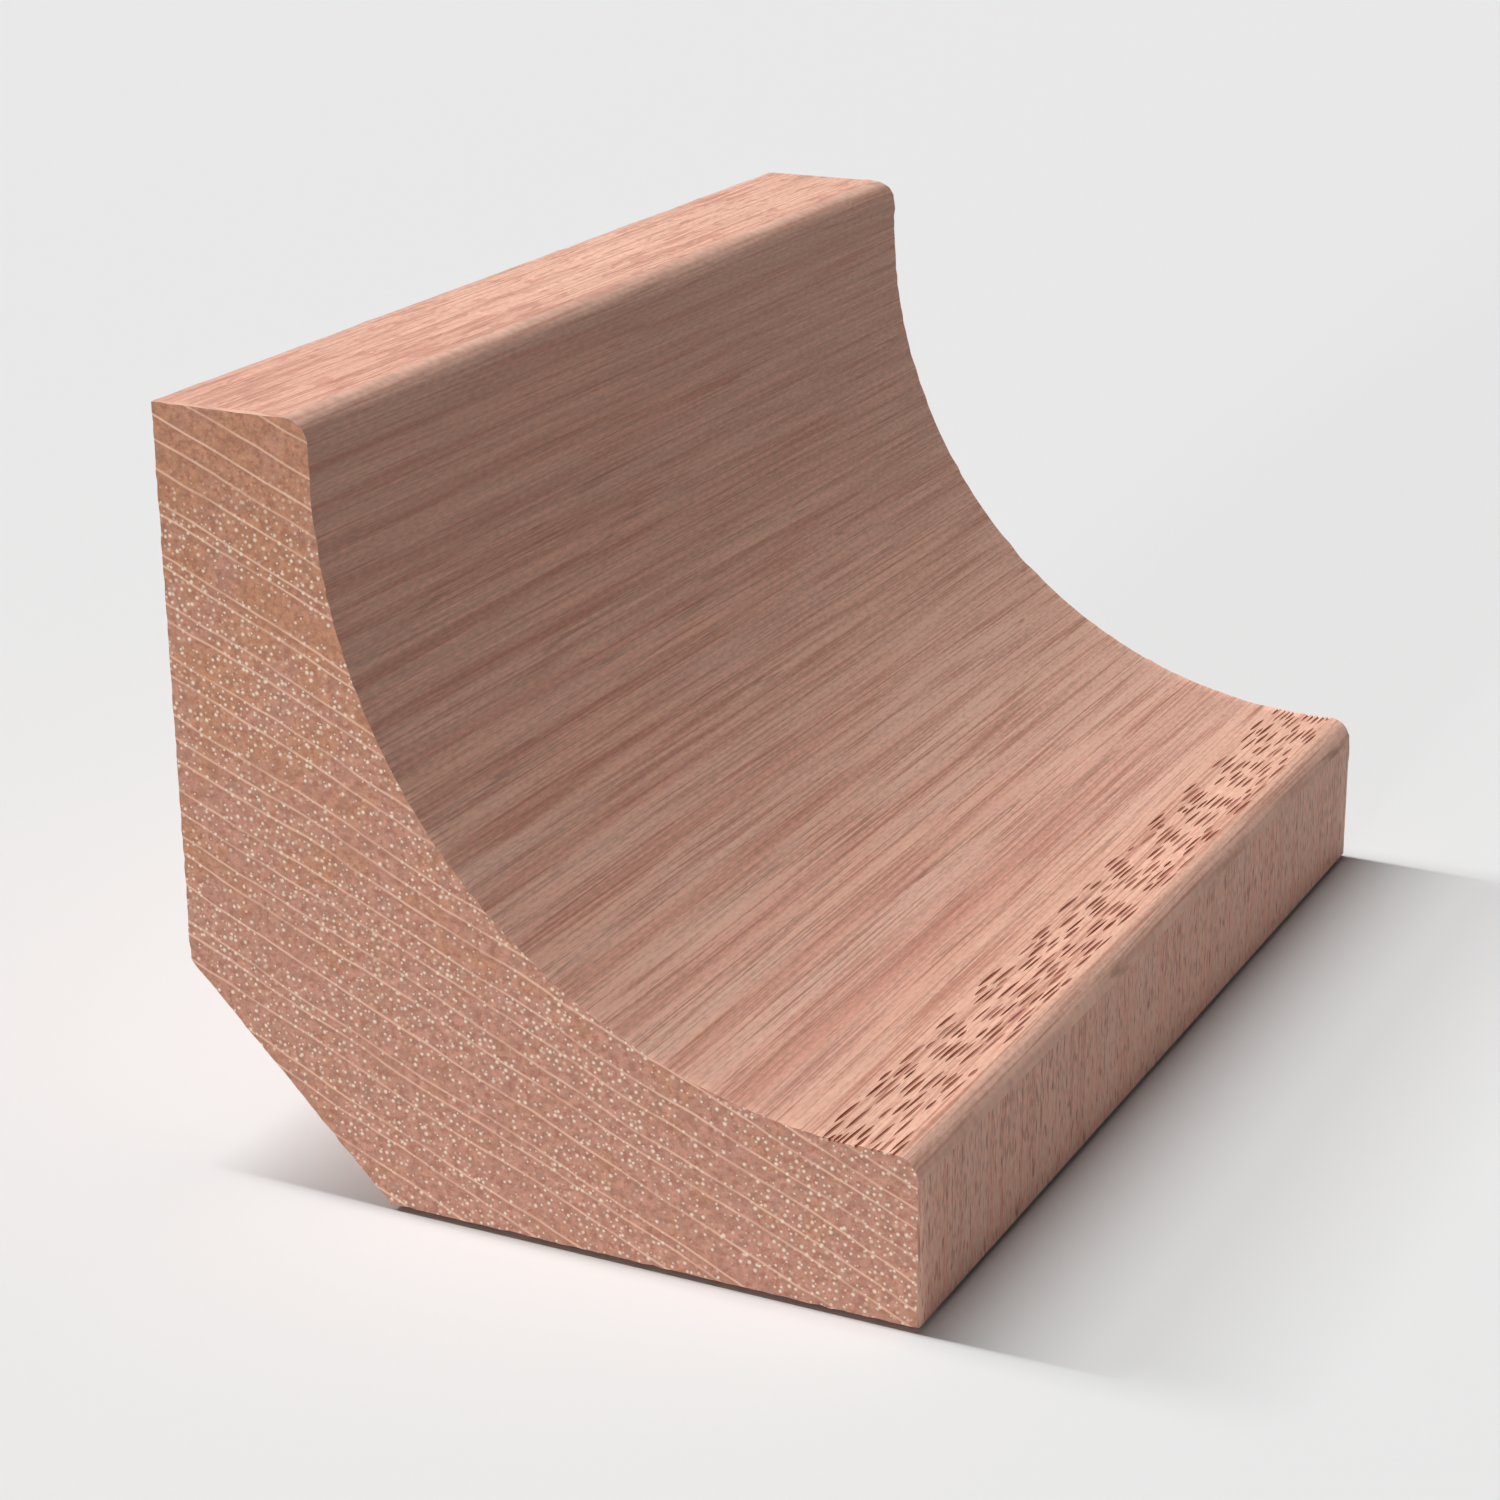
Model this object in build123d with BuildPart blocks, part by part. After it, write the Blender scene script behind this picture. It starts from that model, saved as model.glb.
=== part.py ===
from build123d import *
import os

# Cove moulding: a short length of solid hardwood trim, one piece of stock. The section lies in
# the XZ plane and runs along Y, the way of the grain. The back face goes against one surface and
# the bottom face against another; the hollow of the cove faces away from both. The origin is on
# the bottom face, at the middle of the section's width and at mid length.

# Driving dimensions, in millimetres
section_width = 32.0  # from the back face to the front of the toe
section_height = 32.0  # from the bottom face to the top of the leg
length = 53.0  # along the grain, between the two sawn ends
leg_thickness = 7.0  # the upright leg at its top, from the back face to the hollow
toe_thickness = 7.0  # the toe at its front, from the bottom face to the hollow
cove_radius = 23.0  # the quarter-round hollow
heel_chamfer = 9.0  # taken off the corner where the back and bottom faces would meet
arris_radius = 1.0  # eased edges along the top of the leg and the front of the toe

# The cutter that hollows the cove is larger than the section, so it always runs out past the
# front and the top
cutter_side = section_width + section_height + 2 * cove_radius

os.makedirs("parts", exist_ok=True)

with BuildPart() as cove_moulding:
    with BuildSketch(Plane.XZ) as section:
        Rectangle(section_width, section_height, align=(Align.CENTER, Align.MIN))

        # Only one rounded corner of the cutter lies in the section. Its arc is the cove, and its
        # straight sides leave a narrow flat at each end of the arc.
        with Locations((leg_thickness - section_width / 2, toe_thickness)):
            RectangleRounded(
                cutter_side,
                cutter_side,
                cove_radius,
                align=(Align.MIN, Align.MIN),
                mode=Mode.SUBTRACT,
            )

        # The heel is taken off square to the corner, so that the moulding beds on both faces
        heel = section.vertices().group_by(Axis.Y)[0].sort_by(Axis.X)[0]
        chamfer(heel, length=heel_chamfer)

        # The front arrises are eased; the sawn ends and the hidden edges stay sharp
        leg_arris = section.vertices().group_by(Axis.Y)[-1].sort_by(Axis.X)[-1]
        toe_arris = section.vertices().group_by(Axis.X)[-1].sort_by(Axis.Y)[-1]
        fillet([leg_arris, toe_arris], radius=arris_radius)

    extrude(amount=length / 2, both=True)

cove_moulding.part.label = "cove_moulding"
export_step(cove_moulding.part, "parts/cove_moulding.step")
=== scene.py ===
"""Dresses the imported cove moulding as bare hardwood, on a pale studio floor.

The timber is modelled again over the fixed CAD node, to carry what the plain solid leaves out: open
pores cut into the toe, slightly ragged sawn edges, a chipped edge on the back, and the grain of each face.
"""

import math
import random
from collections import Counter

import bpy
from mathutils import Matrix, Vector


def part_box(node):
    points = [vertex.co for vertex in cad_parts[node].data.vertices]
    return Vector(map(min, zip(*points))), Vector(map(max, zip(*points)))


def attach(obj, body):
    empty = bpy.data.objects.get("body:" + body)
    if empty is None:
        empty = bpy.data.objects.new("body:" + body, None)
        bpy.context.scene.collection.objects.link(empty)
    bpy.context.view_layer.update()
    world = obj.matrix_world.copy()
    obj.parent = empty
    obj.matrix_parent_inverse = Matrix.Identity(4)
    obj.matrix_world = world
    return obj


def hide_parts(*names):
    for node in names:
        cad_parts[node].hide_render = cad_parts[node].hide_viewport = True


bl_info = {
    "name": "Cove Moulding Dresser",
    "version": (1, 0, 0),
    "blender": (4, 5, 0),
    "location": "View3D > Sidebar > Moulding",
    "description": "Models the timber of a cove moulding and sets it on a studio floor",
    "category": "Object",
}

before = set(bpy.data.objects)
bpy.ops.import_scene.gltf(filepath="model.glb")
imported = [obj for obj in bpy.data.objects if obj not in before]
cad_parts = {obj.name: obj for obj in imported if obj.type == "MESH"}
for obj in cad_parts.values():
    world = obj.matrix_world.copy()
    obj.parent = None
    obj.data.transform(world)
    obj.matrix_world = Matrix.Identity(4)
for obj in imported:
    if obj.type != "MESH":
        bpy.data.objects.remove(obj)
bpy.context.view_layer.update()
NODE = "cove_moulding"
LOW, HIGH = (Vector(corner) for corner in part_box(NODE))
BODY = "root"
TIMBER = "moulding_timber"

MM = 0.001
PER_MM = 1000.0
TOUCH = 1e-6
WELD = 0.0002 * MM
SMOOTH_ANGLE = math.radians(30)

# Number of each finish, which is also the place of its material on the timber
HOLLOW, PLANED, TOE_FRONT, END_GRAIN = range(4)
FIBRE = "Wood fibre"

# Height of the bump on the smooth faces, on the planed ones and on the sawn ends
FINE_RELIEF = 0.008 * MM
PLANED_RELIEF = 0.015 * MM
SAWN_RELIEF = 0.03 * MM

# Starts of the random draws that break the edges
NEAR_END_SEED = 3
FAR_END_SEED = 8
BACK_EDGE_SEED = 4

ARRIS_STEPS = 8
PORE_SIDES = 8
PORE_ROOM = 0.05 * MM
# Places along a pore, as shares of its length, and its girth there
PORE_PROFILE = ((-0.5, 0.05), (-0.4, 0.45), (-0.22, 0.88), (0.0, 1.0), (0.22, 0.88), (0.4, 0.45), (0.5, 0.05))

# The floor lies a little under the moulding, and the lamps so far off that they light it evenly
FLOOR_SIZE = 6.0
FLOOR_GAP = 0.2 * MM
LAMP_DISTANCE = 40.0
STRIP_WIDTH = 2.4
FILL_DISTANCE = 2.0
SENSOR_WIDTH = 36.0


class SectionSettings(bpy.types.PropertyGroup):
    """Sizes of the moulded section, inside the box of the CAD node."""

    leg: bpy.props.FloatProperty(
        name="Leg",
        description="Thickness of the upright leg at its top",
        default=7 * MM,
        unit="LENGTH",
    )
    toe: bpy.props.FloatProperty(
        name="Toe",
        description="Thickness of the toe at its front",
        default=7 * MM,
        unit="LENGTH",
    )
    cove: bpy.props.FloatProperty(
        name="Cove radius",
        description="Radius of the quarter-round hollow",
        default=23 * MM,
        unit="LENGTH",
    )
    heel: bpy.props.FloatProperty(
        name="Heel chamfer",
        description="Length taken off each face at the heel",
        default=9 * MM,
        unit="LENGTH",
    )
    arris: bpy.props.FloatProperty(
        name="Arris radius",
        description="Radius of the two eased front edges",
        default=1 * MM,
        unit="LENGTH",
    )
    facet: bpy.props.FloatProperty(
        name="Facet",
        description="Longest step of the outline round the sawn ends",
        default=0.4 * MM,
        unit="LENGTH",
    )
    row: bpy.props.FloatProperty(
        name="Row",
        description="Length of one row of faces along the grain",
        default=1 * MM,
        unit="LENGTH",
    )
    ragged: bpy.props.FloatProperty(
        name="Ragged edge",
        description="How far the saw broke the edges of the ends",
        default=0.05 * MM,
        unit="LENGTH",
    )
    chipped: bpy.props.FloatProperty(
        name="Chipped edge",
        description="How far the top edge of the back is chipped",
        default=0.035 * MM,
        unit="LENGTH",
    )
    ragged_reach: bpy.props.FloatProperty(
        name="Ragged reach",
        description="How far from the end a broken edge reaches along the grain",
        default=0.15 * MM,
        unit="LENGTH",
    )


class PoreSettings(bpy.types.PropertyGroup):
    """The open pores along the toe."""

    clusters: bpy.props.IntProperty(
        name="Clusters",
        description="Groups of pores along the length",
        default=11,
    )
    tries: bpy.props.IntProperty(
        name="Tries",
        description="How many places are drawn, the longest pores first, of which only the free ones get one",
        default=5000,
    )
    band: bpy.props.FloatProperty(
        name="Band",
        description="Width of the band of pores, across the grain",
        default=3 * MM,
        unit="LENGTH",
    )
    length: bpy.props.FloatProperty(
        name="Length",
        description="Usual length of a pore along the grain",
        default=1.8 * MM,
        unit="LENGTH",
    )
    width: bpy.props.FloatProperty(
        name="Width",
        description="Usual width of a pore",
        default=0.155 * MM,
        unit="LENGTH",
    )
    depth: bpy.props.FloatProperty(
        name="Depth",
        description="Usual depth of a pore below the surface",
        default=0.09 * MM,
        unit="LENGTH",
    )
    lean: bpy.props.FloatProperty(
        name="Lean",
        description="Angle of the pores to the length, towards the toe at the far end",
        default=math.radians(3),
        subtype="ANGLE",
    )
    seed: bpy.props.IntProperty(
        name="Seed",
        description="Start of the random draws that scatter the pores",
        default=5,
    )


class FinishSettings(bpy.types.PropertyGroup):
    """Colours of the bare wood."""

    pale: bpy.props.FloatVectorProperty(
        name="Pale wood",
        description="Light peach of the planed faces",
        subtype="COLOR",
        size=3,
        default=(0.8, 0.47, 0.35),
    )
    land: bpy.props.FloatVectorProperty(
        name="Toe wood",
        description="Yellow peach of the land that carries the open pores",
        subtype="COLOR",
        size=3,
        default=(0.79, 0.465, 0.345),
    )
    pink: bpy.props.FloatVectorProperty(
        name="Pink wood",
        description="Pink of the broad bands along the grain",
        subtype="COLOR",
        size=3,
        default=(0.77, 0.437, 0.325),
    )
    tan: bpy.props.FloatVectorProperty(
        name="Tan wood",
        description="Tan between the pink bands",
        subtype="COLOR",
        size=3,
        default=(0.73, 0.445, 0.342),
    )
    red: bpy.props.FloatVectorProperty(
        name="Red bands",
        description="Red-brown of the narrow bands near the sawn end",
        subtype="COLOR",
        size=3,
        default=(0.58, 0.27, 0.2),
    )
    streak: bpy.props.FloatVectorProperty(
        name="Streaks",
        description="Red-brown of the dark streaks along the grain",
        subtype="COLOR",
        size=3,
        default=(0.54, 0.177, 0.108),
    )
    vein: bpy.props.FloatVectorProperty(
        name="Veins",
        description="Red-brown of the thin dark lines and flecks",
        subtype="COLOR",
        size=3,
        default=(0.4, 0.185, 0.125),
    )
    pore: bpy.props.FloatVectorProperty(
        name="Open pores",
        description="Dark red-brown inside the open pores",
        subtype="COLOR",
        size=3,
        default=(0.46, 0.175, 0.105),
    )
    cream: bpy.props.FloatVectorProperty(
        name="Cream",
        description="Filled pores of the end grain",
        subtype="COLOR",
        size=3,
        default=(1.0, 0.8, 0.62),
    )
    line: bpy.props.FloatVectorProperty(
        name="End lines",
        description="Peach of the thin lines across the end grain",
        subtype="COLOR",
        size=3,
        default=(0.93, 0.585, 0.425),
    )
    end: bpy.props.FloatVectorProperty(
        name="End grain",
        description="Orange brown of the end grain",
        subtype="COLOR",
        size=3,
        default=(0.5, 0.24, 0.138),
    )
    rust: bpy.props.FloatVectorProperty(
        name="Rust specks",
        description="Red specks of the end grain",
        subtype="COLOR",
        size=3,
        default=(0.4, 0.15, 0.095),
    )
    end_grey: bpy.props.FloatVectorProperty(
        name="Grey end grain",
        description="Pinkish grey clouds in the end grain",
        subtype="COLOR",
        size=3,
        default=(0.505, 0.255, 0.185),
    )


class StageSettings(bpy.types.PropertyGroup):
    """Floor, lamps and camera."""

    floor_colour: bpy.props.FloatVectorProperty(
        name="Floor colour",
        description="Pale grey of the floor and of the backdrop",
        subtype="COLOR",
        size=3,
        default=(0.815, 0.815, 0.815),
    )
    floor_bounce: bpy.props.FloatProperty(
        name="Floor bounce",
        description="Share of its light that the floor throws back on the moulding",
        default=0.6,
    )
    dome: bpy.props.FloatProperty(
        name="Dome",
        description="Even light from all round",
        default=0.05,
    )
    strip_power: bpy.props.FloatProperty(
        name="Strip lamp",
        description="Power of the long lamp over the back of the moulding",
        default=13600.0,
        unit="POWER",
    )
    low_strip_power: bpy.props.FloatProperty(
        name="Low strip lamp",
        description="Power of the short lamp under the long one",
        default=4816.0,
        unit="POWER",
    )
    fill: bpy.props.FloatProperty(
        name="Fill lamp",
        description="Strength of the soft lamp in front of the near end",
        default=1.5,
    )
    azimuth: bpy.props.FloatProperty(
        name="Camera azimuth",
        description="Angle of the camera round the moulding, from the near end towards the toe",
        default=math.radians(26.72),
        subtype="ANGLE",
    )
    elevation: bpy.props.FloatProperty(
        name="Camera elevation",
        description="Angle of the camera above the floor",
        default=math.radians(19.88),
        subtype="ANGLE",
    )
    roll: bpy.props.FloatProperty(
        name="Camera roll",
        description="Tilt of the camera about its own line of sight",
        default=math.radians(-0.55),
        subtype="ANGLE",
    )
    distance: bpy.props.FloatProperty(
        name="Camera distance",
        description="Distance from the camera to the point it looks at",
        default=151.3 * MM,
        unit="LENGTH",
    )
    target: bpy.props.FloatVectorProperty(
        name="Camera target",
        description="Point that the camera looks at",
        subtype="TRANSLATION",
        size=3,
        default=(-4.07 * MM, 0.0, 11.08 * MM),
    )
    lens: bpy.props.FloatProperty(
        name="Lens",
        description="Focal length on a 36 mm wide sensor, in millimetres",
        default=80.53,
    )


def select_only(piece):
    """Leaves this object alone selected, and active."""
    bpy.ops.object.select_all(action="DESELECT")
    piece.select_set(True)
    bpy.context.view_layer.objects.active = piece


def pick(piece, kind, wanted):
    """In edit mode, selects the vertices, edges or faces that wanted() accepts, and nothing else."""
    bpy.ops.mesh.select_mode(type=kind)
    bpy.ops.mesh.select_all(action="DESELECT")
    bpy.ops.object.mode_set(mode="OBJECT")
    mesh = piece.data
    items = {"VERT": mesh.vertices, "EDGE": mesh.edges, "FACE": mesh.polygons}[kind]
    for item in items:
        item.select = wanted(item)
    bpy.ops.object.mode_set(mode="EDIT")


def section_corners(section):
    """The (x, z) of the outline's corners that get a shape of their own: inner, heel and arrises."""
    inner = Vector((LOW.x + section.leg, LOW.z + section.toe))
    heel = Vector((LOW.x, LOW.z))
    arrises = [Vector((inner.x, HIGH.z)), Vector((HIGH.x, inner.y))]
    return inner, heel, arrises


def draw_section(section):
    """A face on the near end with the outline of the moulding, made from a square."""
    bpy.ops.object.select_all(action="DESELECT")
    middle = (LOW + HIGH) / 2
    bpy.ops.mesh.primitive_plane_add(
        size=1,
        location=(middle.x, LOW.y, middle.z),
        rotation=(math.pi / 2, 0, 0),
    )
    timber = bpy.context.object
    timber.name = timber.data.name = TIMBER
    timber.scale = (HIGH.x - LOW.x, HIGH.z - LOW.z, 1)
    bpy.ops.object.transform_apply(location=True, rotation=True, scale=True)

    # The square is cut along the leg and along the toe, and the quarter between them is taken out
    inner, heel, arrises = section_corners(section)
    bpy.ops.object.mode_set(mode="EDIT")
    for point, normal in (
        ((inner.x, LOW.y, 0), (1, 0, 0)),
        ((0, LOW.y, inner.y), (0, 0, 1)),
    ):
        bpy.ops.mesh.select_all(action="SELECT")
        bpy.ops.mesh.bisect(plane_co=point, plane_no=normal, threshold=TOUCH)
    pick(timber, "FACE", lambda face: face.center.x > inner.x and face.center.z > inner.y)
    bpy.ops.mesh.delete(type="FACE")
    bpy.ops.mesh.select_all(action="SELECT")
    bpy.ops.mesh.dissolve_limited(angle_limit=math.radians(1))

    # Each corner is rounded or cut at its own size: the cove, the heel and the two arrises
    cove_steps = math.ceil(section.cove * math.pi / 2 / section.facet)
    for points, reach, steps in (
        ([inner], section.cove, cove_steps),
        ([heel], section.heel, 1),
        (arrises, section.arris, ARRIS_STEPS),
    ):
        places = [Vector((point.x, LOW.y, point.y)) for point in points]
        pick(timber, "VERT", lambda vertex: any((vertex.co - p).length < TOUCH for p in places))
        bpy.ops.mesh.bevel(offset=reach, segments=steps, profile=0.5, affect="VERTICES")

    # The straight sides are divided as finely as the cove
    while True:
        bpy.ops.object.mode_set(mode="OBJECT")
        ends = timber.data.vertices
        lengths = [(ends[e.vertices[0]].co - ends[e.vertices[1]].co).length for e in timber.data.edges]
        longest = max(lengths)
        bpy.ops.object.mode_set(mode="EDIT")
        if longest < section.facet + TOUCH:
            break
        chosen = lengths.index(longest)
        pick(timber, "EDGE", lambda edge: edge.index == chosen)
        bpy.ops.mesh.subdivide(number_cuts=math.ceil(longest / section.facet) - 1)
    return timber


def draw_out(timber, section):
    """Draws the section out along the grain to the far end, in rows, and closes the shape."""
    length = HIGH.y - LOW.y
    bpy.ops.mesh.select_all(action="SELECT")
    bpy.ops.mesh.extrude_region_move(TRANSFORM_OT_translate={"value": (0, length, 0)})
    mesh = timber.data

    def runs_along(edge):
        start, end = (mesh.vertices[i].co for i in edge.vertices)
        return abs(start.y - end.y) > length / 2

    pick(timber, "EDGE", runs_along)
    bpy.ops.mesh.subdivide(number_cuts=math.ceil(length / section.row) - 1)
    for end, inward in ((LOW.y, 1), (HIGH.y, -1)):
        bpy.ops.mesh.select_all(action="SELECT")
        place = (0, end + inward * section.ragged_reach, 0)
        bpy.ops.mesh.bisect(plane_co=place, plane_no=(0, 1, 0), threshold=TOUCH)
    bpy.ops.mesh.select_all(action="SELECT")
    bpy.ops.mesh.normals_make_consistent(inside=False)


def break_edges(timber, section):
    """Breaks the edges of the two sawn ends and the top edge of the back a little, inside the box."""
    middle = (LOW + HIGH) / 2
    inside = [1 - 2 * section.ragged / (HIGH[axis] - LOW[axis]) for axis in (0, 2)]
    for end, seed in ((LOW.y, NEAR_END_SEED), (HIGH.y, FAR_END_SEED)):
        pick(timber, "VERT", lambda vertex: abs(vertex.co.y - end) < TOUCH)
        bpy.ops.transform.vertex_random(offset=section.ragged, uniform=0.0, normal=0.0, seed=seed)
        bpy.ops.transform.resize(
            value=(inside[0], 0, inside[1]),
            center_override=(middle.x, end, middle.z),
        )
    pick(
        timber,
        "VERT",
        lambda vertex: vertex.co.x < LOW.x + TOUCH
        and vertex.co.z > HIGH.z - TOUCH
        and LOW.y + section.ragged_reach / 2 < vertex.co.y < HIGH.y - section.ragged_reach / 2,
    )
    bpy.ops.transform.vertex_random(
        offset=section.chipped,
        uniform=0.0,
        normal=0.0,
        seed=BACK_EDGE_SEED,
    )
    bpy.ops.transform.translate(value=(section.chipped, 0, -section.chipped))


def surface_point(section, along_arc):
    """(x, z) and tilt of the hollow face at a distance along it from the top of the cove."""
    centre = Vector((LOW.x + section.leg + section.cove, LOW.z + section.toe + section.cove))
    quarter = section.cove * math.pi / 2
    angle = min(along_arc, quarter) / section.cove
    past = max(along_arc - quarter, 0)
    x = centre.x - section.cove * math.cos(angle) + past
    z = centre.y - section.cove * math.sin(angle)
    return x, z, math.pi / 2 - angle


def model_pore():
    """One open pore as a cutter: a slim tapered spindle along the grain, centred on the origin."""
    bpy.ops.object.select_all(action="DESELECT")
    first_place, first_girth = PORE_PROFILE[0]
    bpy.ops.mesh.primitive_circle_add(
        vertices=PORE_SIDES,
        radius=first_girth / 2,
        fill_type="NGON",
        location=(0, first_place, 0),
        rotation=(math.pi / 2, 0, 0),
    )
    pore = bpy.context.object
    bpy.ops.object.transform_apply(location=True, rotation=True, scale=True)
    bpy.ops.object.mode_set(mode="EDIT")
    bpy.ops.mesh.select_all(action="SELECT")
    for (before, girth_before), (after, girth_after) in zip(PORE_PROFILE, PORE_PROFILE[1:]):
        bpy.ops.mesh.extrude_region_move(TRANSFORM_OT_translate={"value": (0, after - before, 0)})
        swell = girth_after / girth_before
        bpy.ops.transform.resize(value=(swell, 1, swell), center_override=(0, after, 0))
    bpy.ops.mesh.select_all(action="SELECT")
    bpy.ops.mesh.normals_make_consistent(inside=False)
    bpy.ops.object.mode_set(mode="OBJECT")
    return pore


def pore_places(pores):
    """Where the pores lie, none over another: place across the band and along it, width, length and depth."""
    draw = random.Random(pores.seed)
    step = (HIGH.y - LOW.y) / pores.clusters
    slope = math.tan(pores.lean)
    placed = []
    for number in range(pores.tries):
        across = draw.uniform(0.0, pores.band)
        along = draw.uniform(LOW.y, HIGH.y)
        width = pores.width * draw.uniform(0.65, 1.15)
        length = pores.length * draw.uniform(0.85, 1.1) * (1.25 - 0.8 * number / pores.tries)
        depth = pores.depth * draw.uniform(0.35, 1.1)

        # A cluster is a bowed row across the band, thick in its middle and thin between it and the next
        bow = 0.35 * (2 * across / pores.band - 1) ** 2
        crowd = 0.5 + 0.5 * math.cos(2 * math.pi * ((along - LOW.y) / step - bow))
        if draw.random() > crowd:
            continue
        free = True
        for other_across, other_along, other_width, other_length, _ in placed:
            aside = abs(across - other_across - slope * (along - other_along))
            ahead = abs(along - other_along)
            beside = aside > (width + other_width) / 2 + PORE_ROOM
            beyond = ahead > (length + other_length) / 2 + PORE_ROOM
            free = free and (beside or beyond)
        if free:
            placed.append((across, along, width, length, depth))
    return placed


def scatter_pores(section, pores, finish):
    """Copies of the pore along the toe, as one cutter with the finish of their insides."""
    model = model_pore()
    model.data.materials.append(pore_wood(finish))
    band_end = section.cove * math.pi / 2 + HIGH.x - LOW.x - section.leg - section.cove - section.arris
    copies = []
    for across, along, width, length, depth in pore_places(pores):
        x, z, tilt = surface_point(section, band_end - pores.band + across)
        copy = model.copy()
        copy.data = model.data.copy()
        copy.scale = (width, length, 2 * depth)
        copy.location = (x, along, z)
        copy.rotation_euler = (0, tilt, -pores.lean)
        bpy.context.collection.objects.link(copy)
        copies.append(copy)
    bpy.data.objects.remove(model)
    bpy.ops.object.select_all(action="DESELECT")
    for copy in copies:
        copy.select_set(True)
    bpy.context.view_layer.objects.active = copies[0]
    bpy.ops.object.join()
    bpy.ops.object.transform_apply(location=True, rotation=True, scale=True)
    return bpy.context.object


def weld(piece):
    """Merges the doubled corners that a cut leaves, and takes out corners that only two edges meet at."""
    select_only(piece)
    bpy.ops.object.mode_set(mode="EDIT")
    bpy.ops.mesh.select_all(action="SELECT")
    bpy.ops.mesh.remove_doubles(threshold=WELD)
    bpy.ops.mesh.dissolve_degenerate(threshold=WELD)
    bpy.ops.object.mode_set(mode="OBJECT")
    meeting = Counter(corner for edge in piece.data.edges for corner in edge.vertices)
    bpy.ops.object.mode_set(mode="EDIT")
    pick(piece, "VERT", lambda corner: meeting[corner.index] == 2)
    bpy.ops.mesh.dissolve_verts()
    bpy.ops.object.mode_set(mode="OBJECT")


def node(tree, kind, inputs=None, **settings):
    """Adds a node, sets its properties, and sets or links its inputs by name or number."""
    made = tree.nodes.new(kind)
    for name, value in settings.items():
        setattr(made, name, value)
    for key, value in (inputs or {}).items():
        if isinstance(value, bpy.types.NodeSocket):
            tree.links.new(value, made.inputs[key])
        else:
            made.inputs[key].default_value = value
    return made


def calculate(tree, operation, first, second=0.0):
    """A Math node's result."""
    return node(tree, "ShaderNodeMath", {0: first, 1: second}, operation=operation).outputs[0]


def stretch(tree, place, scale):
    """A place with each axis multiplied by its own scale, in waves per millimetre."""
    inputs = {0: place, 1: scale}
    return node(tree, "ShaderNodeVectorMath", inputs, operation="MULTIPLY").outputs[0]


def noise(tree, place, scale, detail=2.0, roughness=0.5, distortion=0.0):
    """Noise over a place that is stretched first."""
    inputs = {
        "Vector": stretch(tree, place, scale),
        "Scale": 1.0,
        "Detail": detail,
        "Roughness": roughness,
        "Distortion": distortion,
    }
    return node(tree, "ShaderNodeTexNoise", inputs).outputs["Fac"]


def fade(tree, value, start, end, first=0.0, last=1.0):
    """A smooth step of a value from first, at start, to last, at end."""
    inputs = {"Value": value, 1: start, 2: end, 3: first, 4: last}
    made = node(tree, "ShaderNodeMapRange", inputs, interpolation_type="SMOOTHSTEP")
    return made.outputs["Result"]


def mix(tree, factor, first, second):
    """Two colours mixed by a factor."""
    made = node(tree, "ShaderNodeMix", data_type="RGBA")
    for socket, value in ((made.inputs[0], factor), (made.inputs[6], first), (made.inputs[7], second)):
        if isinstance(value, bpy.types.NodeSocket):
            tree.links.new(value, socket)
        elif socket.type == "RGBA":
            socket.default_value = (*value, 1.0)
        else:
            socket.default_value = value
    return made.outputs[2]


def brighten(tree, colour, factor):
    """A colour times a number."""
    inputs = {0: colour, "Scale": factor}
    return node(tree, "ShaderNodeVectorMath", inputs, operation="SCALE").outputs[0]


def stain(tree, colour, mask, share, tint):
    """A colour that turns into the tint by a share, where the mask is 1."""
    return mix(tree, calculate(tree, "MULTIPLY", mask, share), colour, tuple(tint))


def object_place(tree):
    """The place on the timber in millimetres, from its own coordinates."""
    coordinates = node(tree, "ShaderNodeTexCoord").outputs["Object"]
    return stretch(tree, coordinates, (PER_MM, PER_MM, PER_MM))


def make_fibre_group():
    """Makes the node group with the marks of wood fibre, for a place whose second axis is along the grain."""
    tree = bpy.data.node_groups.new(FIBRE, "ShaderNodeTree")
    tree.interface.new_socket("Place", in_out="INPUT", socket_type="NodeSocketVector")
    for name in ("Streak", "Grain", "Tone", "Fleck", "Vein"):
        tree.interface.new_socket(name, in_out="OUTPUT", socket_type="NodeSocketFloat")
    place = node(tree, "NodeGroupInput").outputs["Place"]

    # Streaks run on along the grain, some fine and some broad, and the grain is their short fibres
    streak = 0.0
    for scale, share in (((11.0, 0.12, 11.0), 0.3), ((5.5, 0.06, 5.5), 0.4), ((1.7, 0.04, 1.7), 0.3)):
        layer = calculate(tree, "MULTIPLY", noise(tree, place, scale, roughness=0.6), share)
        streak = calculate(tree, "ADD", streak, layer)
    grain = noise(tree, place, (8.0, 2.0, 8.0))
    tone = noise(tree, place, (0.42, 0.05, 0.42))
    fleck = fade(tree, noise(tree, place, (5.5, 1.0, 5.5), detail=1.0, distortion=0.4), 0.54, 0.7)
    crossing = noise(tree, place, (1.3, 0.02, 1.3), roughness=0.6)
    distance = calculate(tree, "ABSOLUTE", calculate(tree, "SUBTRACT", crossing, 0.5))
    line = fade(tree, distance, 0.002, 0.013, 1.0, 0.0)
    presence = fade(tree, noise(tree, place, (0.8, 0.12, 0.8), detail=1.0), 0.42, 0.62)
    vein = calculate(tree, "MULTIPLY", line, presence)
    marks = {"Streak": streak, "Grain": grain, "Tone": tone, "Fleck": fleck, "Vein": vein}
    node(tree, "NodeGroupOutput", marks)


def fibre(tree, place):
    """The outputs of the fibre group at a place."""
    made = node(tree, "ShaderNodeGroup", node_tree=bpy.data.node_groups[FIBRE])
    tree.links.new(place, made.inputs["Place"])
    return made.outputs


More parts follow.
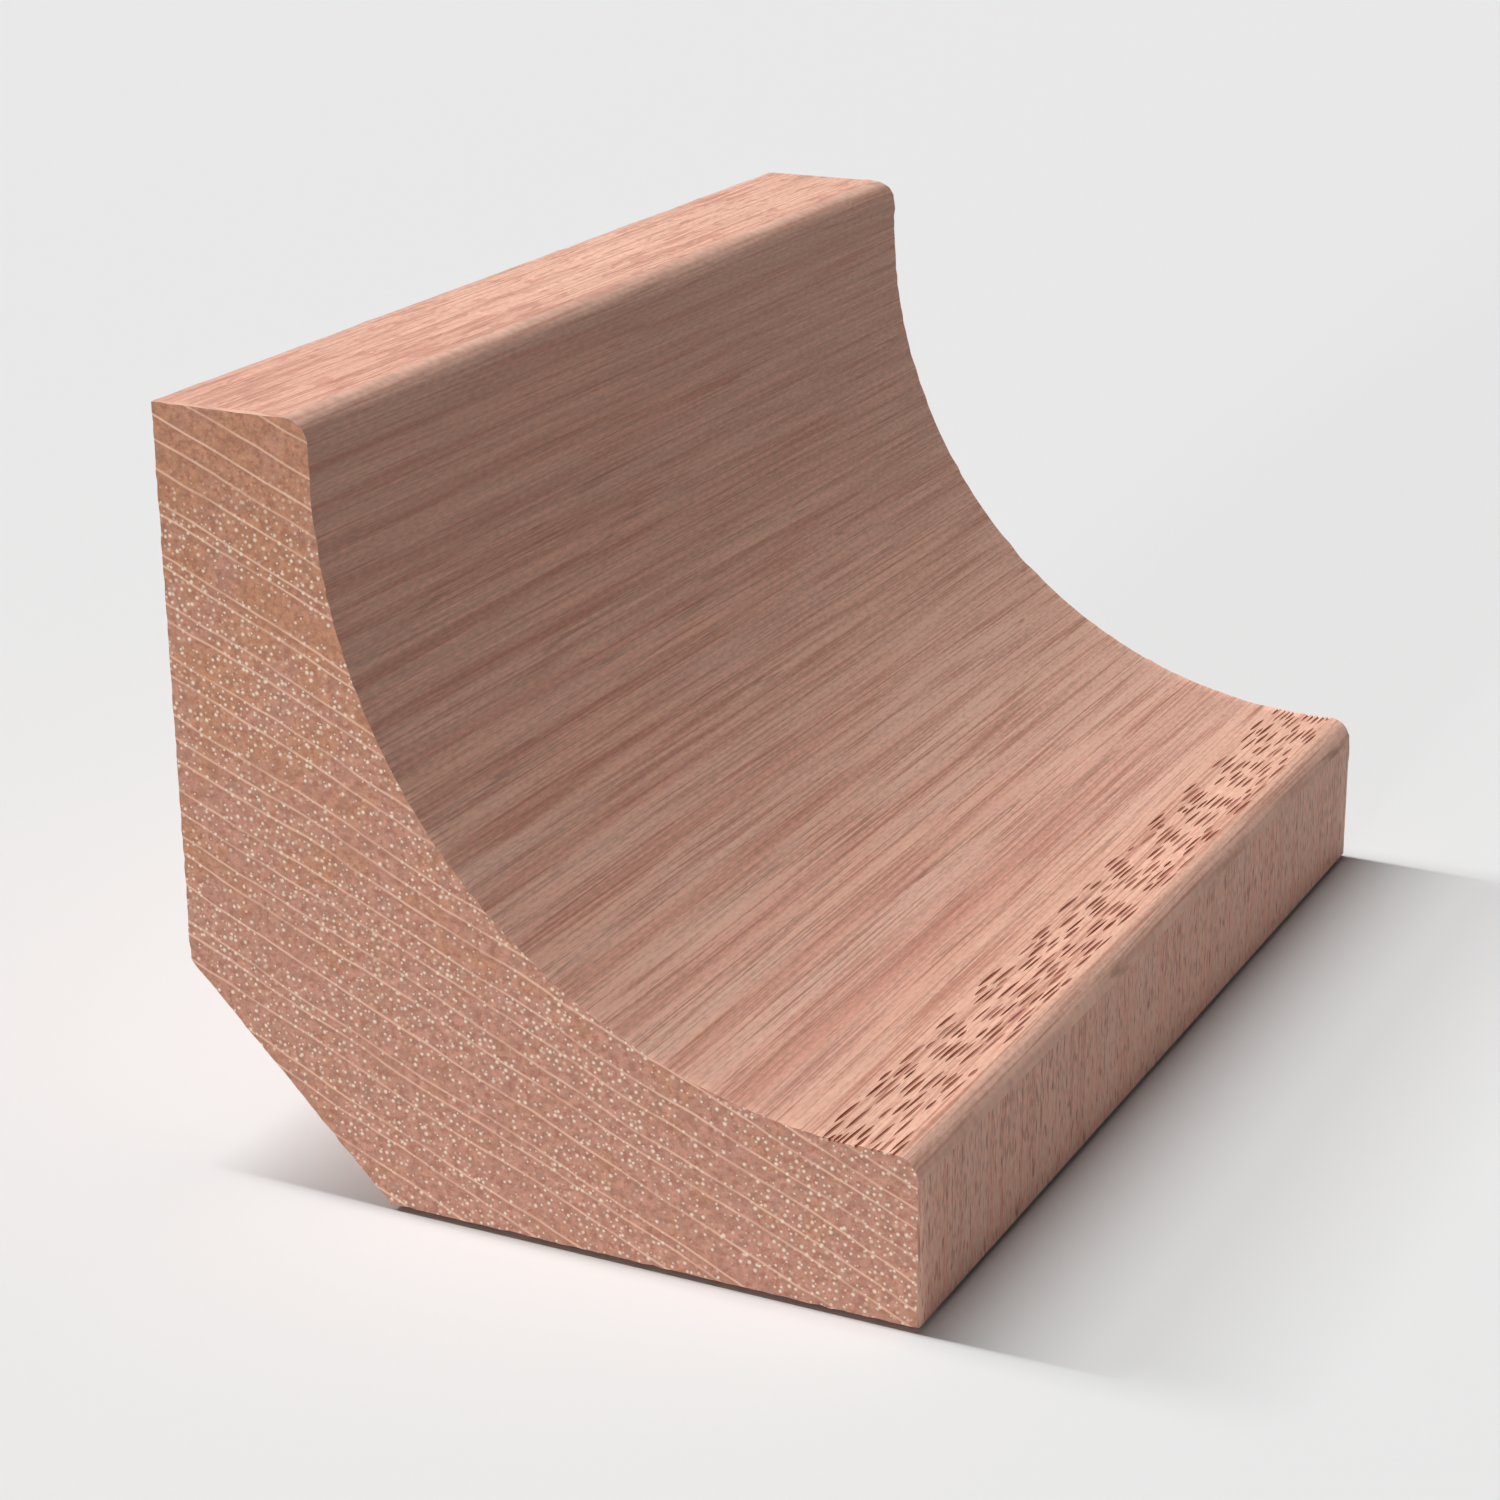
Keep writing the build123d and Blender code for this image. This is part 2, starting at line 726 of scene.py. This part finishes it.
def new_material(name):
    """A material with its tree, which holds only a Principled shader and the output."""
    material = bpy.data.materials.new(name)
    material.use_nodes = True
    tree = material.node_tree
    tree.nodes.clear()
    shader = node(tree, "ShaderNodeBsdfPrincipled")
    node(tree, "ShaderNodeOutputMaterial", {"Surface": shader.outputs["BSDF"]})
    shader.inputs["Specular IOR Level"].default_value = 0.35
    return material, tree, shader


def set_surface(tree, shader, colour, rough_from, height, relief):
    """Feeds the shader its colour, a roughness about a middle value, and a bump of that relief in metres."""
    tree.links.new(colour, shader.inputs["Base Color"])
    roughness = node(
        tree,
        "ShaderNodeMapRange",
        {"Value": rough_from, 1: 0.2, 2: 0.8, 3: 0.58, 4: 0.74},
    )
    tree.links.new(roughness.outputs["Result"], shader.inputs["Roughness"])
    bump = node(tree, "ShaderNodeBump", {"Height": height, "Distance": relief, "Strength": 1.0})
    tree.links.new(bump.outputs["Normal"], shader.inputs["Normal"])


def hollow_place(tree, section):
    """Distances in millimetres over the unrolled hollow face, across the grain and along it."""
    place = node(tree, "ShaderNodeSeparateXYZ", {0: object_place(tree)}).outputs
    back = calculate(tree, "SUBTRACT", (LOW.x + section.leg + section.cove) * PER_MM, place["X"])
    down = calculate(tree, "SUBTRACT", (LOW.z + section.toe + section.cove) * PER_MM, place["Z"])
    across = calculate(tree, "MULTIPLY", calculate(tree, "ARCTAN2", down, back), section.cove * PER_MM)
    return across, place["Y"]


def hollow_wood(section, finish):
    """Long grain of the hollow face: pink and tan bands, red ones near the sawn end, dark veins, painted
    shade towards the top and a painted highlight on the toe round.
    """
    material, tree, shader = new_material("Hollow face wood")
    across, along = hollow_place(tree, section)
    place = node(tree, "ShaderNodeCombineXYZ", {"X": across, "Y": along}).outputs[0]
    marks = fibre(tree, place)

    # Bands that widen down the hollow, and run the further the lower they lie
    drift = calculate(tree, "MULTIPLY", noise(tree, place, (0.2, 0.02, 0.2)), 0.4)
    slowing = calculate(tree, "MULTIPLY", calculate(tree, "POWER", across, 2.0), -0.0052)
    phase = calculate(tree, "ADD", calculate(tree, "MULTIPLY", across, 0.65), slowing)
    turns = calculate(tree, "MULTIPLY", calculate(tree, "ADD", phase, drift), 2 * math.pi)
    wave = calculate(tree, "SINE", turns)
    reach = calculate(tree, "SUBTRACT", along, calculate(tree, "MULTIPLY", across, 0.7))
    near_end = fade(tree, reach, LOW.y * PER_MM, 0.0, 1.0, 0.15)
    band = calculate(tree, "MULTIPLY", fade(tree, wave, -0.4, 0.9), near_end)
    narrow = calculate(tree, "MULTIPLY", fade(tree, wave, 0.55, 1.0), near_end)

    tone = fade(tree, marks["Tone"], 0.4, 0.66)
    tone = calculate(tree, "MULTIPLY", tone, fade(tree, along, -8.0, 18.0, 1.0, 0.5))
    pinkness = calculate(tree, "MAXIMUM", band, tone)
    pinkness = calculate(tree, "MULTIPLY", pinkness, fade(tree, across, 4.0, 16.0, 0.65, 1.0))
    colour = mix(tree, pinkness, tuple(finish.tan), tuple(finish.pink))
    colour = stain(tree, colour, narrow, 0.5, finish.red)
    swing = calculate(tree, "MULTIPLY", calculate(tree, "MULTIPLY", wave, near_end), -0.04)
    colour = brighten(tree, colour, calculate(tree, "ADD", swing, 1.0))
    last_band = fade(tree, across, 28.8, 30.2)
    last_band = calculate(tree, "MULTIPLY", last_band, fade(tree, across, 31.4, 33.6, 1.0, 0.0))
    last_band = calculate(tree, "MULTIPLY", last_band, fade(tree, along, -10.0, HIGH.y * PER_MM, 1.0, 0.5))
    colour = stain(tree, colour, last_band, 0.35, finish.red)

    # The hollow carries painted shade towards the top of the leg, where it faces away from the lamps, and
    # painted light on its low part; the land by the toe is the palest, and the low part of the hollow is a
    # little lighter at the far end
    colour = stain(tree, colour, fade(tree, across, 32.0, 34.8), 0.9, finish.land)
    # Painted shade at the top of the hollow, turning into painted light lower down
    painted_shading = node(tree, "ShaderNodeMapRange", {"Value": across, 1: 0.0, 2: 28.0}).outputs["Result"]
    painted_shading = calculate(tree, "MULTIPLY", calculate(tree, "POWER", painted_shading, 0.6), 0.47)
    colour = brighten(tree, colour, calculate(tree, "ADD", painted_shading, 0.81))
    far_low = calculate(tree, "MULTIPLY", fade(tree, along, 2.0, 14.0), fade(tree, across, 12.0, 18.0))
    far_low = calculate(tree, "MULTIPLY", far_low, fade(tree, across, 29.0, 32.0, 0.05, 0.0))
    colour = brighten(tree, colour, calculate(tree, "ADD", far_low, 1.0))

    # The two rounds are tan, and the one on the toe is the lighter for a painted highlight along it
    place_parts = node(tree, "ShaderNodeSeparateXYZ", {0: object_place(tree)}).outputs
    toe_round = fade(tree, place_parts["X"], (HIGH.x - section.arris) * PER_MM, HIGH.x * PER_MM - 0.4)
    leg_round = fade(tree, place_parts["Z"], (HIGH.z - section.arris) * PER_MM - 0.3, HIGH.z * PER_MM - 0.6)
    rounds = calculate(tree, "MAXIMUM", toe_round, leg_round)
    colour = stain(tree, colour, rounds, 0.7, finish.tan)
    # Painted highlight: the toe round lightens towards its front edge
    painted_toe_highlight = fade(tree, place_parts["X"], HIGH.x * PER_MM - 0.7, HIGH.x * PER_MM, 1.0, 1.2)
    colour = brighten(tree, colour, painted_toe_highlight)

    # The streaks are the stronger the lower they lie
    streaks = fade(tree, marks["Streak"], 0.38, 0.52, 1.0, 0.0)
    streaks = calculate(tree, "MULTIPLY", streaks, fade(tree, across, 4.0, 26.0, 0.75, 1.0))
    colour = stain(tree, colour, streaks, 0.6, finish.streak)
    colour = brighten(tree, colour, fade(tree, marks["Streak"], 0.48, 0.62, 1.02, 1.2))
    colour = brighten(tree, colour, fade(tree, marks["Grain"], 0.3, 0.7, 0.9, 1.1))
    colour = stain(tree, colour, marks["Fleck"], 0.12, finish.vein)
    colour = stain(tree, colour, marks["Vein"], 0.5, finish.vein)
    set_surface(tree, shader, colour, marks["Grain"], marks["Streak"], FINE_RELIEF)
    return material


def planed_wood(finish):
    """Long grain of the plain planed faces: pale and streaked, with red flecks on the top of the leg."""
    material, tree, shader = new_material("Planed face wood")
    place = object_place(tree)
    marks = fibre(tree, place)
    parts = node(tree, "ShaderNodeSeparateXYZ", {0: place}).outputs
    on_top = fade(tree, parts["Z"], HIGH.z * PER_MM - 0.6, HIGH.z * PER_MM - 0.2)
    near_end = fade(tree, parts["Y"], LOW.y * PER_MM, 5.0, 0.9, 0.0)
    pinkness = calculate(tree, "MAXIMUM", fade(tree, marks["Tone"], 0.35, 0.7), near_end)
    colour = mix(tree, pinkness, tuple(finish.pale), tuple(finish.pink))
    colour = stain(tree, colour, near_end, 0.22, finish.red)

    wave = noise(tree, place, (2.2, 0.35, 2.2), roughness=0.6, distortion=0.8)
    redness = calculate(tree, "MULTIPLY", fade(tree, wave, 0.52, 0.6), on_top)
    colour = stain(tree, colour, redness, 0.7, finish.red)
    streaks = fade(tree, marks["Streak"], 0.38, 0.54, 1.0, 0.0)
    streaks = calculate(tree, "MULTIPLY", streaks, fade(tree, on_top, 0.0, 1.0, 1.0, 0.6))
    colour = stain(tree, colour, streaks, 0.6, finish.streak)
    colour = stain(tree, colour, marks["Vein"], 0.35, finish.vein)
    colour = brighten(tree, colour, fade(tree, marks["Streak"], 0.36, 0.64, 0.92, 1.2))
    colour = brighten(tree, colour, fade(tree, marks["Grain"], 0.3, 0.7, 0.91, 1.09))
    colour = brighten(tree, colour, fade(tree, on_top, 0.0, 1.0, 0.88, 0.97))
    set_surface(tree, shader, colour, marks["Grain"], marks["Grain"], PLANED_RELIEF)
    return material


def toe_wood(finish):
    """Front of the toe: duller, with short upright flecks and broad upright bands, lifted by painted light.
    """
    material, tree, shader = new_material("Toe front wood")
    place = node(tree, "ShaderNodeSeparateXYZ", {0: object_place(tree)}).outputs
    upright = node(tree, "ShaderNodeCombineXYZ", {"X": place["Y"], "Y": place["Z"], "Z": place["X"]})
    marks = fibre(tree, upright.outputs[0])
    colour = mix(tree, fade(tree, marks["Tone"], 0.4, 0.66), tuple(finish.tan), tuple(finish.pink))
    colour = stain(tree, colour, fade(tree, marks["Streak"], 0.38, 0.54, 1.0, 0.0), 0.75, finish.red)
    colour = stain(tree, colour, marks["Fleck"], 0.75, finish.vein)
    colour = brighten(tree, colour, fade(tree, marks["Grain"], 0.3, 0.7, 0.82, 1.18))
    # Painted light lifts the whole toe front, which faces away from the lamps, and most at its foot, against
    # the shade by the floor
    colour = brighten(tree, colour, fade(tree, place["Z"], 0.0, 5.0, 1.62, 1.36))
    set_surface(tree, shader, colour, marks["Grain"], marks["Grain"], PLANED_RELIEF)
    return material


def end_grain_wood(finish):
    """Sawn ends: orange brown, with cream filled pores and thin pale lines across them."""
    material, tree, shader = new_material("End grain wood")
    spot = node(tree, "ShaderNodeSeparateXYZ", {0: object_place(tree)}).outputs
    flat = node(tree, "ShaderNodeCombineXYZ", {"X": spot["X"], "Y": spot["Z"]}).outputs[0]
    lean = math.radians(23)
    turned = node(tree, "ShaderNodeVectorRotate", {"Vector": flat, "Angle": lean}, rotation_type="Z_AXIS")
    layers = turned.outputs[0]
    ring = node(tree, "ShaderNodeSeparateXYZ", {0: layers}).outputs
    wander = calculate(tree, "MULTIPLY", noise(tree, layers, (0.12, 0.2, 0.0), detail=3.0), 0.9)
    depth = calculate(tree, "ADD", ring["Y"], wander)

    # Thin pale lines at uneven distances, each broken here and there, with a darker shade under it
    def line(offset, half_width):
        shifted = calculate(tree, "ADD", depth, offset)
        inputs = {"W": shifted, "Scale": 1.0, "Randomness": 0.7}
        cells = node(tree, "ShaderNodeTexVoronoi", inputs, voronoi_dimensions="1D", feature="F1")
        return fade(tree, cells.outputs["Distance"], half_width * 0.35, half_width, 1.0, 0.0)

    strength = fade(tree, noise(tree, layers, (0.35, 1.3, 0.0), detail=3.0), 0.34, 0.62, 0.5, 1.0)
    pale_line = calculate(tree, "MULTIPLY", line(0.0, 0.07), strength)
    dark_line = calculate(tree, "MULTIPLY", line(0.13, 0.1), strength)

    # Filled pores, thick in some layers of growth and thin in others
    inputs = {"Vector": stretch(tree, flat, (3.4, 3.4, 0.0)), "Scale": 1.0, "Randomness": 1.0}
    pores = node(tree, "ShaderNodeTexVoronoi", inputs, voronoi_dimensions="2D", feature="F1")
    chance = node(tree, "ShaderNodeSeparateColor", {0: pores.outputs["Color"]}).outputs
    crowd = fade(tree, noise(tree, layers, (0.13, 0.45, 0.0)), 0.34, 0.58, 0.3, 1.15)
    crowd = calculate(tree, "SUBTRACT", crowd, chance[0])
    kept = fade(tree, crowd, 0.0, 0.2)
    kept = calculate(tree, "MULTIPLY", kept, fade(tree, spot["Z"], 26.0, 30.5, 1.0, 0.1))
    girth = calculate(tree, "MULTIPLY", calculate(tree, "ADD", chance[1], 0.8), 0.24)
    dot = fade(tree, calculate(tree, "DIVIDE", pores.outputs["Distance"], girth), 0.3, 1.0, 1.0, 0.0)
    glow = fade(tree, chance[2], 0.0, 0.6, 0.25, 1.0)
    dot = calculate(tree, "MULTIPLY", calculate(tree, "MULTIPLY", dot, kept), glow)

    # Orange towards the top of the leg and pinker below, clouded, with dark and light grains
    cloud = noise(tree, flat, (0.4, 0.4, 0.0), detail=5.0, roughness=0.65)
    height_share = node(tree, "ShaderNodeMapRange", {"Value": spot["Z"], 1: 8.0, 2: 32.0, 3: 0.12, 4: -0.12})
    cloud = fade(tree, calculate(tree, "ADD", cloud, height_share.outputs["Result"]), 0.36, 0.64)
    speck = noise(tree, flat, (2.0, 2.0, 0.0), detail=4.0, roughness=0.75)
    colour = mix(tree, cloud, tuple(finish.end), tuple(finish.end_grey))
    colour = brighten(tree, colour, fade(tree, speck, 0.3, 0.7, 0.86, 1.36))
    rust = fade(tree, noise(tree, flat, (3.0, 3.0, 0.0), detail=3.0, roughness=0.7), 0.48, 0.64)
    colour = stain(tree, colour, rust, 0.7, finish.rust)
    colour = brighten(tree, colour, fade(tree, spot["Z"], 22.0, 27.0, 1.0, 0.92))
    colour = stain(tree, colour, dark_line, 0.3, finish.vein)
    colour = stain(tree, colour, pale_line, 0.8, finish.line)
    colour = stain(tree, colour, dot, 0.95, finish.cream)
    height = calculate(tree, "SUBTRACT", calculate(tree, "MULTIPLY", speck, 0.6), dot)
    set_surface(tree, shader, colour, speck, height, SAWN_RELIEF)
    return material


def pore_wood(finish):
    """Inside of an open pore: dark red-brown, redder in places."""
    material, tree, shader = new_material("Open pore wood")
    speck = noise(tree, object_place(tree), (1.5, 0.35, 1.5), detail=1.0)
    colour = mix(tree, fade(tree, speck, 0.4, 0.6), tuple(finish.pore), tuple(finish.red))
    set_surface(tree, shader, colour, speck, speck, FINE_RELIEF)
    return material


def face_finish(face):
    """The number of the finish that a face takes."""
    if abs(face.normal.y) > 0.9:
        return END_GRAIN
    if face.normal.x > 0.999 and face.center.x > HIGH.x - TOUCH:
        return TOE_FRONT
    if face.normal.z > 0.999 and face.center.z > HIGH.z - TOUCH:
        return PLANED
    if face.normal.x < -0.5 or face.normal.z < -0.5:
        return PLANED
    return HOLLOW


def give_finish(timber, section, finish):
    """Puts each face's material on it."""
    make_fibre_group()
    materials = {
        HOLLOW: hollow_wood(section, finish),
        PLANED: planed_wood(finish),
        TOE_FRONT: toe_wood(finish),
        END_GRAIN: end_grain_wood(finish),
    }
    select_only(timber)
    for number, material in materials.items():
        timber.data.materials.append(material)
        bpy.ops.object.mode_set(mode="EDIT")
        pick(timber, "FACE", lambda face: face_finish(face) == number)
        timber.active_material_index = number
        bpy.ops.object.material_slot_assign()
        bpy.ops.object.mode_set(mode="OBJECT")


class MOULDING_OT_model_timber(bpy.types.Operator):
    """Model the moulded timber over the CAD node, with its finish and its open pores"""

    bl_idname = "moulding.model_timber"
    bl_label = "Model Timber"

    def execute(self, context):
        scene = context.scene
        section, pores, finish = scene.moulding_section, scene.moulding_pores, scene.moulding_finish
        timber = draw_section(section)
        draw_out(timber, section)
        break_edges(timber, section)
        bpy.ops.object.mode_set(mode="OBJECT")
        give_finish(timber, section, finish)

        cutter = scatter_pores(section, pores, finish)
        select_only(timber)
        cut = timber.modifiers.new("Open pores", "BOOLEAN")
        cut.operation = "DIFFERENCE"
        cut.solver = "EXACT"
        cut.material_mode = "TRANSFER"
        cut.object = cutter
        bpy.ops.object.modifier_apply(modifier=cut.name)
        bpy.data.objects.remove(cutter)
        weld(timber)
        bpy.ops.object.shade_smooth_by_angle(angle=SMOOTH_ANGLE)
        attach(timber, BODY)
        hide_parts(NODE)
        return {"FINISHED"}


def bearing(azimuth, elevation):
    """Direction from the moulding to a thing at this azimuth, from -Y towards +X, and elevation."""
    level = math.cos(elevation)
    return Vector((math.sin(azimuth) * level, -math.cos(azimuth) * level, math.sin(elevation)))


def aim(thing, place, target, roll=0.0):
    """Puts a camera or lamp in place and turns it to look at the target."""
    look = (target - place).to_track_quat("-Z", "Y").to_matrix().to_4x4()
    thing.matrix_world = Matrix.Translation(place) @ look @ Matrix.Rotation(roll, 4, "Z")


def add_lamp(name, kind, direction, distance, **settings):
    """A lamp in a direction from the moulding, shining at it."""
    data = bpy.data.lights.new(name, kind)
    for key, value in settings.items():
        setattr(data, key, value)
    lamp = bpy.data.objects.new(name, data)
    bpy.context.collection.objects.link(lamp)
    aim(lamp, direction * distance, Vector((0, 0, 0)))


def seen_colour(tree, unseen, seen):
    """The second colour where the camera, a mirror or glass looks, and the first for all other light."""
    path = node(tree, "ShaderNodeLightPath").outputs
    looks = calculate(tree, "MAXIMUM", path["Is Camera Ray"], path["Is Glossy Ray"])
    looks = calculate(tree, "MAXIMUM", looks, path["Is Transmission Ray"])
    return mix(tree, looks, unseen, tuple(seen))


def add_strip(name, low, high, power):
    """A narrow lamp high behind the back of the moulding, between two elevations."""
    add_lamp(
        name,
        "AREA",
        bearing(math.radians(-90), (low + high) / 2),
        LAMP_DISTANCE,
        energy=power,
        shape="RECTANGLE",
        size=STRIP_WIDTH,
        size_y=2 * LAMP_DISTANCE * math.tan((high - low) / 2),
    )


class MOULDING_OT_set_stage(bpy.types.Operator):
    """Set the floor, the lamps and the camera"""

    bl_idname = "moulding.set_stage"
    bl_label = "Set Stage"

    def execute(self, context):
        scene = context.scene
        stage = scene.moulding_stage
        scene.view_settings.view_transform = "Standard"

        bpy.ops.object.select_all(action="DESELECT")
        bpy.ops.mesh.primitive_plane_add(size=FLOOR_SIZE, location=(0, 0, -FLOOR_GAP))
        floor = context.object
        floor.name = "studio_floor"
        material, tree, shader = new_material("Studio floor")
        bounce = (stage.floor_bounce,) * 3
        tree.links.new(seen_colour(tree, bounce, stage.floor_colour), shader.inputs["Base Color"])
        shader.inputs["Roughness"].default_value = 1.0
        shader.inputs["Specular IOR Level"].default_value = 0.0
        floor.data.materials.append(material)

        # A dim dome lights the moulding, and whatever looks past the floor sees the floor's grey
        world = bpy.data.worlds.new("Studio")
        scene.world = world
        world.use_nodes = True
        tree = world.node_tree
        tree.nodes.clear()
        dome = (stage.dome,) * 3
        colour = seen_colour(tree, dome, stage.floor_colour)
        background = node(tree, "ShaderNodeBackground", {"Color": colour})
        node(tree, "ShaderNodeOutputWorld", {"Surface": background.outputs[0]})

        # The strips lie across the moulding's length, so its shadow is soft away from the toe and
        # sharp at the two ends
        add_strip("Strip lamp", math.radians(44), math.radians(90), stage.strip_power)
        add_strip("Low strip lamp", math.radians(38), math.radians(44), stage.low_strip_power)
        add_lamp(
            "Fill lamp",
            "SUN",
            bearing(0, math.radians(4)),
            FILL_DISTANCE,
            energy=stage.fill,
            angle=math.radians(8),
        )

        data = bpy.data.cameras.new("Photograph view")
        data.sensor_width = SENSOR_WIDTH
        data.lens = stage.lens
        data.clip_start = 0.01
        camera = bpy.data.objects.new("Photograph view", data)
        context.collection.objects.link(camera)
        target = Vector(stage.target)
        place = target + bearing(stage.azimuth, stage.elevation) * stage.distance
        aim(camera, place, target, stage.roll)
        scene.camera = camera
        return {"FINISHED"}


class MOULDING_PT_sidebar(bpy.types.Panel):
    """Sidebar panel with the steps and their settings"""

    bl_idname = "MOULDING_PT_sidebar"
    bl_label = "Cove Moulding"
    bl_space_type = "VIEW_3D"
    bl_region_type = "UI"
    bl_category = "Moulding"

    def draw(self, context):
        for operator, groups in (
            (MOULDING_OT_model_timber, ("moulding_section", "moulding_pores", "moulding_finish")),
            (MOULDING_OT_set_stage, ("moulding_stage",)),
        ):
            box = self.layout.box()
            box.operator(operator.bl_idname)
            for group in groups:
                settings = getattr(context.scene, group)
                for name in settings.__annotations__:
                    box.prop(settings, name)


SETTINGS = {
    "moulding_section": SectionSettings,
    "moulding_pores": PoreSettings,
    "moulding_finish": FinishSettings,
    "moulding_stage": StageSettings,
}
CLASSES = (*SETTINGS.values(), MOULDING_OT_model_timber, MOULDING_OT_set_stage, MOULDING_PT_sidebar)


def register():
    for cls in CLASSES:
        bpy.utils.register_class(cls)
    for name, cls in SETTINGS.items():
        setattr(bpy.types.Scene, name, bpy.props.PointerProperty(type=cls))


def unregister():
    for name in SETTINGS:
        delattr(bpy.types.Scene, name)
    for cls in reversed(CLASSES):
        bpy.utils.unregister_class(cls)


def main():
    """Builds the whole scene."""
    register()
    bpy.ops.moulding.model_timber()
    bpy.ops.moulding.set_stage()


if __name__ == "__main__":
    main()
